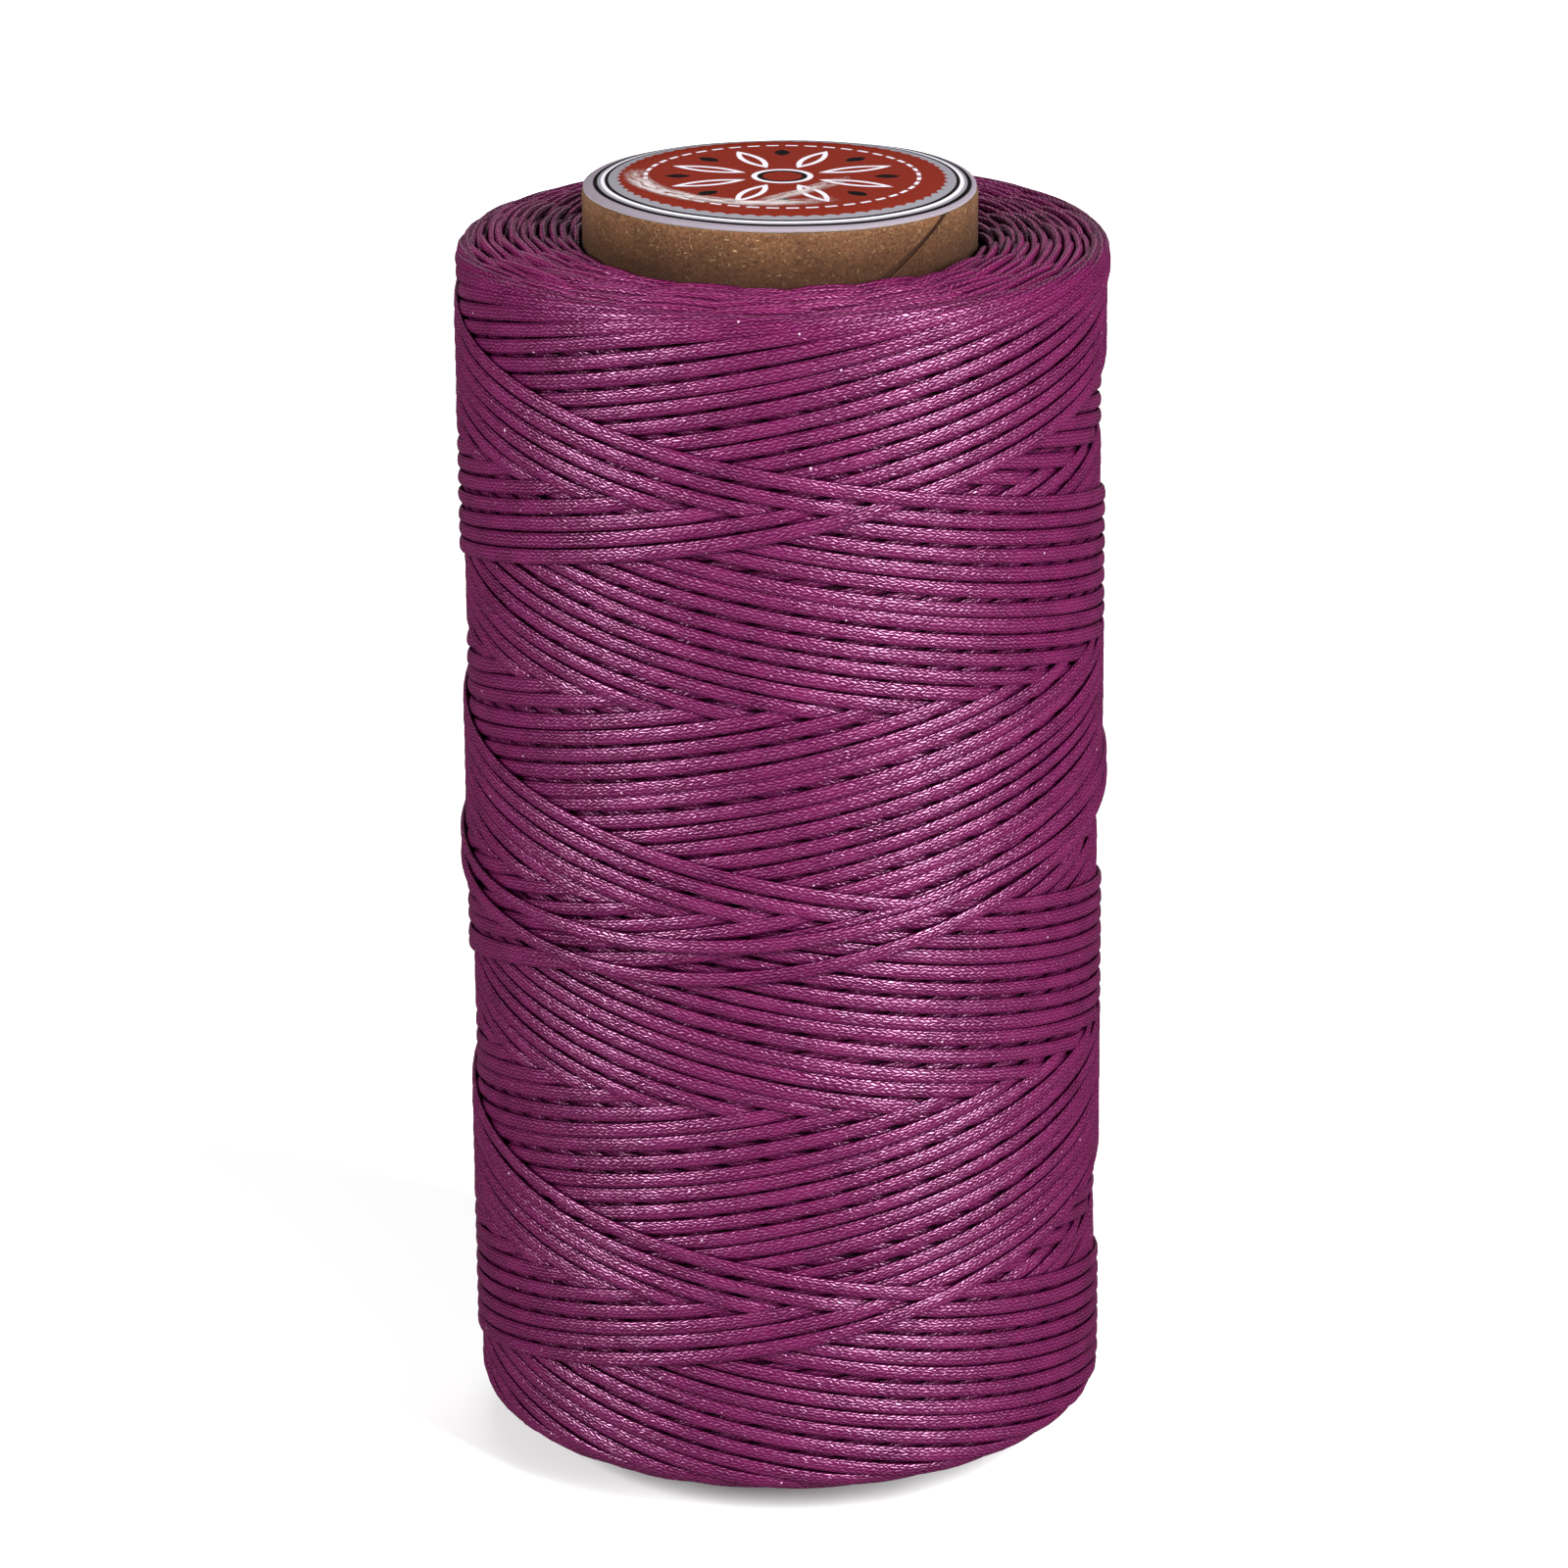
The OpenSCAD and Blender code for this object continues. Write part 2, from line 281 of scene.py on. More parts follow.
def thread_material(name, crease_shade, body, glint, braid_depth=0.047, shine=1.0):
    """Flat braid of filaments, soaked in wax: slanted grains in rows that lean left and right."""
    made, tree, shader = new_material(name, Specular_IOR_Level=0.5, IOR=1.9,
                                      Specular_Tint=(1.0, 0.52, 0.83, 1.0))
    lay = node(tree, "ShaderNodeUVMap", uv_map="lay").outputs[0]
    part = node(tree, "ShaderNodeSeparateXYZ", {0: lay})
    u, v = part.outputs[0], part.outputs[1]
    # Noise along the thread, in mm, wrapped round it
    turn = calc(tree, "MULTIPLY", v, 2 * math.pi)
    wrapped = node(tree, "ShaderNodeCombineXYZ", {
        0: u,
        1: calc(tree, "MULTIPLY", calc(tree, "COSINE", turn), WRAP_R),
        2: calc(tree, "MULTIPLY", calc(tree, "SINE", turn), WRAP_R)}).outputs[0]
    wander = noise(tree, wrapped, 0.9, 2.0)
    fine = noise(tree, scaled(tree, wrapped, (2.4, 11.0, 11.0)), 1.0, 2.0)
    lumps = noise(tree, wrapped, 2.2, 1.0)
    rows = calc(tree, "ADD", calc(tree, "MULTIPLY", v, BRAID_ROWS),
                calc(tree, "MULTIPLY", calc(tree, "SUBTRACT", lumps, 0.5), 1.0))
    lean = calc(tree, "MULTIPLY", calc(tree, "PINGPONG", rows, 1.0), BRAID_SLANT)
    odd = calc(tree, "FLOORED_MODULO", calc(tree, "FLOOR", rows), 2.0)
    brick = calc(tree, "MULTIPLY", odd, 0.5)
    drift = calc(tree, "MULTIPLY", calc(tree, "SUBTRACT", wander, 0.5), 1.9)
    phase = calc(tree, "ADD", calc(tree, "ADD", calc(tree, "DIVIDE", u, BRAID), drift),
                 calc(tree, "ADD", lean, brick))

    def dome(place, power):
        """1 in the middle of a cell and 0 at its borders."""
        wave = calc(tree, "COSINE", calc(tree, "MULTIPLY", place, 2 * math.pi))
        return calc(tree, "POWER", calc(tree, "MULTIPLY_ADD", wave, -0.5, 0.5), power)

    stitch = calc(tree, "MULTIPLY", dome(phase, 0.42), dome(rows, 0.4))
    slow = noise(tree, wrapped, 0.13, 2.0)
    worn = remap(tree, noise(tree, wrapped, 0.3, 2.0), 0.35, 0.65, 0.5, 1.0)
    strength = calc(tree, "MULTIPLY", remap(tree, lumps, 0.3, 0.7, 0.45, 1.15), worn)
    uneven = calc(tree, "MULTIPLY_ADD", fine, 0.3, calc(tree, "MULTIPLY", lumps, 0.5))
    lump = calc(tree, "ADD", calc(tree, "MULTIPLY", stitch, strength), uneven)
    # Colour: painted shade in the creases between stitches, paler where the wax lies thick
    shade = calc(tree, "ADD", calc(tree, "MULTIPLY", stitch, 0.9),
                 calc(tree, "MULTIPLY_ADD", fine, 0.4, calc(tree, "MULTIPLY_ADD", worn, -0.4, 0.4)))
    base = blend(tree, remap(tree, shade, 0.28, 0.94), crease_shade, body)
    base = blend(tree, remap(tree, slow, 0.35, 0.75, 0.0, 0.35), base, glint)
    specks = noise(tree, wrapped, 3.1, 0.0)
    base = blend(tree, remap(tree, specks, 0.86, 0.9, 0.0, 0.5), base, colour(226, 196, 214))
    # Painted shade from occlusion: what lies between the threads is darkened to a deep purple
    near = node(tree, "ShaderNodeAmbientOcclusion", {"Distance": 0.8 * MM}, samples=6).outputs["AO"]
    base = blend(tree, remap(tree, near, 0.22, 0.86, 1.0, 0.0), base, colour(31, 2, 21))
    tree.links.new(base, shader.inputs["Base Color"])
    tree.links.new(remap(tree, fine, 0.3, 0.7, 0.29, 0.50), shader.inputs["Roughness"])
    # The creases are shaded from the light, and so are the fibres where they are seen end on
    facing = node(tree, "ShaderNodeLayerWeight", {"Blend": 0.5}).outputs["Facing"]
    gloss = calc(tree, "MULTIPLY", remap(tree, stitch, 0.40, 0.88, 0.02, shine),
                 calc(tree, "MULTIPLY", remap(tree, facing, 0.4, 0.8, 1.0, 0.5),
                      remap(tree, near, 0.3, 0.85)))
    # Handling has dulled the wax along the top edge
    place = node(tree, "ShaderNodeTexCoord").outputs["Object"]
    height = node(tree, "ShaderNodeSeparateXYZ", {0: place}).outputs[2]
    gloss = calc(tree, "MULTIPLY", gloss, remap(tree, height, 77.8 * MM, 79.4 * MM, 1.0, 0.65))
    tree.links.new(gloss, shader.inputs["Specular IOR Level"])
    bump = node(tree, "ShaderNodeBump", {"Height": lump, "Strength": 1.0,
                                         "Distance": braid_depth * MM})
    tree.links.new(bump.outputs[0], shader.inputs["Normal"])
    return made


thread = thread_material("waxed_thread", colour(28, 2, 18), colour(83, 10, 57),
                         colour(93, 24, 66))
# Painted light: the same thread on the winding's ends, coloured paler than on its side
face_thread_painted_paler = thread_material("waxed_thread_ends_painted_paler", colour(28, 3, 19), colour(104, 20, 71),
                              colour(122, 40, 89), 0.06, 0.8)

# ---- The thread's path ----

now = PEAK_DEG + TRIP / 2  # how far the thread has turned when its last full trip is done


def wander_of(turned, step, size, seed):
    """A smooth random curve along the thread, with a new value every step degrees."""
    local = np.random.default_rng(seed)
    first = math.floor(turned.min() / step) - 2
    knots = local.normal(0, size, int((turned.max() - turned.min()) / step) + 8)
    at = turned / step - first
    i = np.floor(at).astype(int)
    f = smooth(at - i)
    return knots[i] * (1 - f) + knots[i + 1] * f


def leaves_step(x):
    """What the other family's age, from 0 to 1, takes off the radius. The age falls along the
    thread and starts again at 1 past the newest pass, where a taut thread hangs free."""
    past = (1 - x) / (2 * HANG / (2 * math.pi * CREST_R))
    return x - np.clip(1 - past, 0, 1) ** 2


def trip_places(turned):
    """For points that far along the thread, in degrees: degrees from the nearest peak."""
    trip = np.round((PEAK_DEG - turned) / TRIP)
    return turned - (PEAK_DEG - trip * TRIP)


def height_of(past):
    """Straight climbs and falls, joined by short parabolas at the peaks and valleys."""
    e = np.abs(past)
    m = TRIP / 2 - e
    top = np.where(e < TOP_TURN, (e * e / TOP_TURN + TOP_TURN) / 2, e)
    low = np.where(m < BOTTOM_TURN, (m * m / BOTTOM_TURN + BOTTOM_TURN) / 2, m)
    return np.where(e < TRIP / 4, PEAK_Z - SLOPE * top, VALLEY_Z + SLOPE * low)


def surface_of(turned, past):
    """Radius of the outer surface of the thread, before the rounded edges."""
    layers = (now - turned) / TRIP / CLOSING
    other = np.where(past < 0, 2 * np.abs(past) / 360 - 1 / CLOSING, -2 * np.abs(past) / 360) % 1
    step = leaves_step(other)
    # Round a peak or a valley the climbing part lies outside and the falling part inside
    near_top = 1 - smooth((np.abs(past) - 34) / 24)
    left = TRIP / 2 - np.abs(past)
    near_low = 1 - smooth((left - 16) / 16)
    top_step = 0.5 + 0.245 * np.clip(past / TOP_TURN, -1, 1)
    low_step = 0.5 + 0.2 * np.clip(-np.sign(past) * left / BOTTOM_TURN, -1, 1)
    step = step * (1 - near_top) * (1 - near_low) + top_step * near_top + low_step * near_low
    top_lift = -0.34 * np.tanh(past / 16) - 0.08
    low_lift = 0.2 * np.tanh(np.sign(past) * left / 7)
    lift = top_lift * near_top + low_lift * near_low
    return CREST_R - 2 * STEP_T * layers - STEP_T * step + lift


def shoulder(z):
    """How far a rounded edge draws the surface in, and how far its normal leans up."""
    up = np.clip((z - PACK_TOP + TOP_SHOULDER) / TOP_SHOULDER, 0, 0.95)
    down = np.clip((PACK_BOTTOM + BOTTOM_SHOULDER - z) / BOTTOM_SHOULDER, 0, 0.95)
    inset = (TOP_SHOULDER * (1 - np.sqrt(1 - up * up))
             + BOTTOM_SHOULDER * (1 - np.sqrt(1 - down * down)))
    return inset, np.arcsin(up) * 0.8 - np.arcsin(down) * 0.8


def sample_turns(first, last):
    """Angles along the thread, closer together where it hangs off a step."""
    plain = np.arange(first, last + 2.2, 4.5)
    peaks = PEAK_DEG - TRIP * np.arange(-1, OLDEST_TRIP + 2)
    halves = 180 * np.arange(0, 7)
    jumps = np.concatenate([(peaks[:, None] - halves - 180 / CLOSING).ravel(),
                            (peaks[:, None] + halves).ravel()])
    close = (jumps[:, None] + np.array([-1.5, 0.2, 1.6, 3.2, 5.0, 7.2, 9.8])).ravel()
    close = np.sort(close[(close > first + 1) & (close < last - 1)])
    # The plain steps stay where they lie clear of the close ones
    after = np.searchsorted(close, plain)[:, None]
    beside = close[np.clip(after + np.array([-1, 0]), 0, len(close) - 1)]
    clear = np.abs(plain[:, None] - beside).min(1) > 1.3
    far = plain[clear & (plain > first + 1) & (plain < last - 1)]
    return np.unique(np.concatenate([[first], far, close, [last]]))


def lay_thread(name, first, last, **made):
    """The thread between two angles along it."""
    turned = sample_turns(first, last)
    past = trip_places(turned)
    z = height_of(past)
    middle = smooth((np.minimum(np.abs(past), TRIP / 2 - np.abs(past)) - 20) / 30)
    stray = wander_of(turned, 47, 0.06, 5) + wander_of(turned, 610, 0.05, 6)
    z = z + stray * (0.3 + 0.7 * middle)
    inset, lean = shoulder(z)
    surface = surface_of(turned, past) + wander_of(turned, 29, 0.012, 7)
    turn = 1 - smooth((np.abs(past) - 12) / 26)
    half_t = THREAD_T / 2 * (1 + 0.06 * wander_of(turned, 21, 1, 8)) + 0.08 * turn
    half_w = THREAD_W / 2 * (1 + 0.035 * wander_of(turned, 33, 1, 9)) - 0.03 * turn
    r = surface - inset - half_t
    centre = around(r, turned, z)
    out = outward(turned, lean)
    roll = np.radians(wander_of(turned, 38, 4.0, 10) + wander_of(turned, 700, 2.5, 11))
    start = (first - PEAK_DEG + 30 * TRIP) / 360 * 2 * math.pi * CREST_R % 4000
    return strands(name, centre[None], out[None], half_w[None], half_t[None],
                   oval(THREAD_CORNERS, THREAD_POWER), roll=roll[None], strip=STRIP, start=start,
                   slot="waxed_thread", **made)


# Three pieces, the oldest first, that end at valleys
edges = [PEAK_DEG - OLDEST_TRIP * TRIP] + [PEAK_DEG - k * TRIP + TRIP / 2 for k in (17, 9, 0)]
for number, (first, last) in enumerate(zip(edges, edges[1:])):
    replaced = ("thread_outer_layer",) if number == 0 else ()
    lay_thread(f"thread_lay_{number + 1}", first, last, material=thread, replaces=replaced)


def ages(bearing, z):
    """Ages of the newest pass of each family at a place, from 0 to 1."""
    climb = PEAK_Z / LEAD - (PEAK_DEG + SHIFT) / 360
    fall = PEAK_Z / LEAD + PEAK_DEG / 360
    return ((z / LEAD - bearing / 360) - climb) % 1, (fall - (z / LEAD + bearing / 360)) % 1


def spline(x, y, at):
    """Cubic through points, with slopes taken from their neighbours."""
    x, y = np.asarray(x, float), np.asarray(y, float)
    slope = np.gradient(y, x)
    i = np.clip(np.searchsorted(x, at) - 1, 0, len(x) - 2)
    h = x[i + 1] - x[i]
    t = (at - x[i]) / h
    return ((1 + 2 * t) * (1 - t) ** 2 * y[i] + t * (1 - t) ** 2 * h * slope[i]
            + t * t * (3 - 2 * t) * y[i + 1] + t * t * (t - 1) * h * slope[i + 1])


def spread(values, reach):
    """Mean over a window that many points to each side."""
    kernel = np.hanning(2 * reach + 3)[1:-1]
    padded = np.pad(values, reach, mode="edge")
    return np.convolve(padded, kernel / kernel.sum(), mode="valid")


def lay_end():
    """The last, partial pass climbs from the bottom to the middle and ends in two wraps."""
    leaves, wraps, second, dips = 1700, 1830, 2555, 2672  # angles along the thread
    turned = np.arange(now, now + LAST_PASS, 3.0)
    past = turned - PEAK_DEG - TRIP
    # Angle along the thread and height, from where the pass leaves its straight line
    knots = np.array([
        (1700, 32.4), (1716, 33.9), (1760, 37.4), (1822, 42.2), (1875, 45.7), (1925, 47.4),
        (1980, 46.6), (2030, 43.6), (2075, 41.2), (2111, 40.0), (2140, 39.95), (2162, 40.6),
        (2181, 41.6), (2200, 42.9), (2228, 44.3), (2275, 46.3), (2330, 46.2), (2390, 42.6),
        (2435, 39.7), (2461, 38.5), (2485, 37.7), (2514, 38.1), (2530, 39.0), (2547, 40.3),
        (2560, 41.4), (2574, 42.5), (2588, 43.6), (2625, 46.0), (2705, 48.2)])
    late = turned >= leaves
    z = np.where(late, 0, height_of(past))
    z[late] = spline(knots[:, 0], knots[:, 1], turned[late])
    # The straight line bends a little to meet the first of them
    bend = knots[0, 1] - height_of(np.array(leaves - PEAK_DEG - TRIP))
    z = z + np.where(late, 0, bend * smooth((turned - leaves + 140) / 140))
    climb_age, fall_age = ages(turned, z)
    on_all = CREST_R + 0.36 - STEP_T * (climb_age + fall_age)
    reach = 4
    stacked = np.pad(on_all, reach, mode="edge")
    highest = np.max([stacked[i:i + len(on_all)] for i in range(2 * reach + 1)], 0)
    taut = spread(0.6 * highest + 0.4 * on_all, 5)
    regular = surface_of(turned, past)
    mix = smooth((turned - wraps) / 90)
    surface = regular * (1 - mix) + taut * mix
    # The second wrap crosses over the first, and the end dips under its neighbours
    rise = smooth((turned - second) / 30) * (1 - smooth((turned - second - 85) / 30))
    surface = surface + 0.24 * rise - 1.15 * smooth((turned - dips) / 26)
    inset, lean = shoulder(z)
    half_t = THREAD_T / 2 * (1 + 0.05 * wander_of(turned, 21, 1, 18))
    half_w = THREAD_W / 2 * (1 + 0.03 * wander_of(turned, 33, 1, 19))
    centre = around(surface - inset - half_t, turned, z)
    out = outward(turned, lean)
    roll = np.radians(wander_of(turned, 38, 4.0, 20))
    strands("thread_lay_end", centre[None], out[None], half_w[None], half_t[None],
            oval(THREAD_CORNERS, THREAD_POWER), roll=roll[None], strip=STRIP, slot="waxed_thread",
            material=thread)


lay_end()

# ---- The winding's faces and what lies under the outer layer ----


def face_height(r):
    """How far a face of the winding stands proud, from the tube to the edge."""
    u = np.clip((r - FACE_IN) / (FACE_OUT - FACE_IN), 0, 1)
    return FACE_CROWN * 4 * u * (1 - u)


def face_loops(name, z_face, side, phase, rows, inset, seed, **made):
    """Rings of turn-rounds, one ring to a layer, the first that far inside the winding's edge.
    side is 1 for the top and -1 for the bottom."""
    local = np.random.default_rng(seed)
    along = np.linspace(-LOOP_REACH, LOOP_REACH, 15)
    centres, outs, halves_w, halves_t, rolls = [], [], [], [], []
    for ring in range(1, rows + 1):
        middle = CREST_R - inset - RING_STEP * ring
        for number in range(LOOPS):
            # Half a loop is left over on each layer, so the last one tucks under the first
            bearing = phase + SHIFT * (number + CLOSING * ring) + local.normal(0, 2.2)
            lift = -0.31 * np.tanh(along / 9) - 0.005 * along + 0.012 * (number - LOOPS / 2)
            r = np.maximum(middle + lift + local.normal(0, 0.05), TUBE_R + 0.35)
            fall = 0.0022 * along ** 2 + abs(local.normal(0, 0.17))
            # The first ring stays under the outer layer's turning passes
            r = np.minimum(r, CREST_R - 0.85 - 0.3 * smooth(fall / 0.8))
            half_w = LOOP_W / 2 + 0.03 * local.normal() + 0 * along
            z = z_face + side * (face_height(r) - half_w * 0.9 - fall)
            centres.append(around(r, bearing + side * along, z))
            outs.append(outward(bearing + side * along, 0 * along))
            halves_w.append(half_w)
            halves_t.append(LOOP_T / 2 + local.normal(0, 0.01) + 0 * along)
            rolls.append(np.radians(local.normal(0, 8) + 0 * along))
    arrays = [np.array(x) for x in (centres, outs, halves_w, halves_t, rolls)]
    strands(name, *arrays[:4], oval(8, 2.3), roll=arrays[4], slot="waxed_thread", **made)


face_loops("thread_top_turns", PACK_TOP, 1, PEAK_DEG, 11, 0.24, 3, material=face_thread_painted_paler)
face_loops("thread_bottom_turns", PACK_BOTTOM, -1, PEAK_DEG + 180, 10, 1.0, 4,
           material=face_thread_painted_paler)


def lathe(name, outline, bearings, **made):
    """A ring-shaped solid: the closed outline of (radius, height) turned about the tube."""
    outline = np.asarray(outline, float)
    r = np.broadcast_to(outline[:, 0], (len(bearings), len(outline)))
    z = np.broadcast_to(outline[:, 1], r.shape)
    verts = around(r, np.asarray(bearings)[:, None], z)
    rows, cols = r.shape
    i = np.arange(rows)[:, None]
    j = np.arange(cols)[None, :]
    i2, j2 = (i + 1) % rows, (j + 1) % cols
    corners = (i * cols + j, i2 * cols + j, i2 * cols + j2, i * cols + j2)
    quads = np.stack(np.broadcast_arrays(*corners), -1)
    u, u2, v, v2 = np.broadcast_arrays(i / rows, (i + 1) / rows, j / cols, (j + 1) / cols)
    uv = np.stack([np.stack(pair, -1) for pair in ((u, v), (u2, v), (u2, v2), (u, v2))], 2)
    return make_mesh(name, verts.reshape(-1, 3), quads.ravel(), np.full(rows * cols, 4),
                     {"lay": uv.reshape(-1, 2)}, **made)


def shaded_under_material():
    """The crossed turns that show in the gaps of the outer layer, coloured darker than the thread
    as painted shade.
    """
    made, tree, shader = new_material("waxed_thread_under_shaded", Specular_IOR_Level=0.1, Roughness=0.8)
    place = node(tree, "ShaderNodeTexCoord").outputs["Object"]
    part = node(tree, "ShaderNodeSeparateXYZ", {0: place})
    bearing = calc(tree, "ARCTAN2", part.outputs[0], calc(tree, "MULTIPLY", part.outputs[1], -1.0))
    pitch = LEAD * MM / CLOSING
    climb = calc(tree, "DIVIDE", calc(tree, "SUBTRACT", part.outputs[2], calc(
        tree, "MULTIPLY", bearing, LEAD * MM / (2 * math.pi))), pitch)
    line = calc(tree, "ABSOLUTE", calc(tree, "SINE", calc(tree, "MULTIPLY", climb, math.pi)))
    grain = noise(tree, place, 900.0, 2.0)
    # Painted shade: the turns in the gaps are coloured far darker than the thread
    base = blend(tree, calc(tree, "MULTIPLY", line, grain), colour(20, 1, 14), colour(60, 6, 40))
    tree.links.new(base, shader.inputs["Base Color"])
    bump = node(tree, "ShaderNodeBump", {"Height": line, "Strength": 0.8, "Distance": 0.15 * MM})
    tree.links.new(bump.outputs[0], shader.inputs["Normal"])
    return made


def inner_outline():
    """Radius and height round the winding's body, below the outer layer."""
    r_side = CREST_R - 3.3 * STEP_T
    top, low = PACK_TOP - 0.95, PACK_BOTTOM + 0.95
    top_round, low_round = 0.8, 1.5
    points = [(FACE_IN, low)]
    points += [(r, low - face_height(r)) for r in np.linspace(13.5, r_side - 1.8, 8)]
    points += [(r_side - low_round + low_round * math.cos(a),
                low + low_round + low_round * math.sin(a))
               for a in np.radians(np.linspace(-80, 0, 6))]
    points += [(r_side, z) for z in np.linspace(low + 3, top - 2.4, 30)]
    points += [(r_side - top_round + top_round * math.cos(a),
                top - top_round + top_round * math.sin(a))
               for a in np.radians(np.linspace(0, 80, 6))]
    points += [(r, top + face_height(r)) for r in np.linspace(r_side - 1.2, 13.5, 8)]
    points += [(FACE_IN, top)]
    points += [(FACE_IN, z) for z in np.linspace(top - 5, low + 5, 8)]
    return points


lathe("thread_inner_turns", inner_outline(), np.arange(0, 360, 3.0), material=shaded_under_material(),
      slot="waxed_thread", replaces=("thread_pack",))

# ---- The cardboard tube ----


def card_material(name, pale, mid, dark, bump_depth=0.05):
    """Speckled brown board of short fibres, darker with painted shade where it is hemmed in and in
    the seam's gap.
    """
    made, tree, shader = new_material(name, Specular_IOR_Level=0.1, Sheen_Weight=0.02,
                                      Sheen_Roughness=0.6)
    place = node(tree, "ShaderNodeTexCoord").outputs["Object"]
    cloud = noise(tree, place, 420.0, 2.0)
    grain = noise(tree, place, 5000.0, 3.0, 0.7)
    fibre = noise(tree, scaled(tree, place, (1500.0, 1500.0, 7000.0)), 1.0, 2.0, 0.6)
    hairs = noise(tree, scaled(tree, place, (2600.0, 6200.0, 7400.0)), 1.0, 1.0)
    flecks = noise(tree, scaled(tree, place, (2800.0, 2800.0, 9000.0)), 1.0, 1.0)
    base = blend(tree, remap(tree, cloud, 0.3, 0.7, 0.25, 0.75), mid, pale)
    base = blend(tree, remap(tree, grain, 0.42, 0.68, 0.0, 0.75), base, dark)
    base = blend(tree, remap(tree, fibre, 0.56, 0.72, 0.0, 0.55), base, pale)
    base = blend(tree, remap(tree, hairs, 0.70, 0.80, 0.0, 0.7), base, colour(190, 164, 124))
    base = blend(tree, remap(tree, flecks, 0.68, 0.76, 0.0, 0.8), base, colour(38, 25, 15))
    # Single curved fibres: thin level lines of a noise, broken up by another
    for scale, shift, tone, most in ((1700.0, 0.0, colour(36, 23, 14), 0.85),
                                     (1900.0, 0.5, colour(186, 160, 120), 0.35)):
        moved = node(tree, "ShaderNodeVectorMath", {0: place, 1: (shift, shift, shift)}).outputs[0]
        level = calc(tree, "ABSOLUTE", calc(tree, "SUBTRACT", noise(tree, moved, scale, 1.0), 0.5))
        broken = remap(tree, noise(tree, moved, 2600.0, 1.0), 0.49, 0.57)
        curved = calc(tree, "MULTIPLY", remap(tree, level, 0.004, 0.013, most, 0.0), broken)
        base = blend(tree, curved, base, tone)
    part = node(tree, "ShaderNodeSeparateXYZ", {0: place})
    away = node(tree, "ShaderNodeCombineXYZ", {0: part.outputs[0], 1: part.outputs[1]}).outputs[0]
    away = node(tree, "ShaderNodeVectorMath", {0: away}, operation="LENGTH").outputs["Value"]
    # Painted shade in the seam's sunk gap, below the tube's outer radius
    seam_shade = remap(tree, away, (TUBE_R - 0.20) * MM, (TUBE_R - 0.05) * MM, 0.7, 0.0)
    base = blend(tree, seam_shade, base, colour(52, 33, 21))
    # Painted shade from occlusion, where the board is hemmed in by the winding and the label
    near = node(tree, "ShaderNodeAmbientOcclusion", {"Distance": 4 * MM}, samples=6).outputs["AO"]
    base = blend(tree, remap(tree, near, 0.5, 0.97, 0.85, 0.0), base, colour(34, 14, 6))
    tree.links.new(base, shader.inputs["Base Color"])
    tree.links.new(remap(tree, grain, 0.3, 0.7, 0.7, 0.95), shader.inputs["Roughness"])
    height = calc(tree, "MULTIPLY_ADD", grain, 0.6, calc(tree, "MULTIPLY", fibre, 0.7))
    bump = node(tree, "ShaderNodeBump", {"Height": height, "Strength": 0.9,
                                         "Distance": bump_depth * MM})
    tree.links.new(bump.outputs[0], shader.inputs["Normal"])
    return made


kraft = card_material("kraft_card", colour(106, 72, 46), colour(79, 51, 32), colour(44, 27, 16))
liner = card_material("liner_card", colour(150, 122, 88), colour(124, 96, 66), colour(84, 60, 40))

SEAM_LEAD, SEAM_TOP = 48.0, 55.0  # height that the seam climbs in a turn, and its top's bearing
SEAM_DEEP, SEAM_LIP = 0.24, 0.05  # how far its gap is sunk, and how far its edges are raised
SEAM_OPEN, SEAM_SHUT = 0.60, 0.20  # half its gap by the winding and by the label
STRIP_IN = 12.0  # the outer strip's inner radius
CUT_SLOPE, CUT_X = 0.014, 12.0  # how the cut rises to the left, and the x that it rises from


def cut_rise(x, y):
    """The tube's end is cut a little out of square, and is highest at the front left."""
    return CUT_SLOPE * np.clip(CUT_X - x, 0, None) * (0.6 - 0.4 * y / TUBE_R)


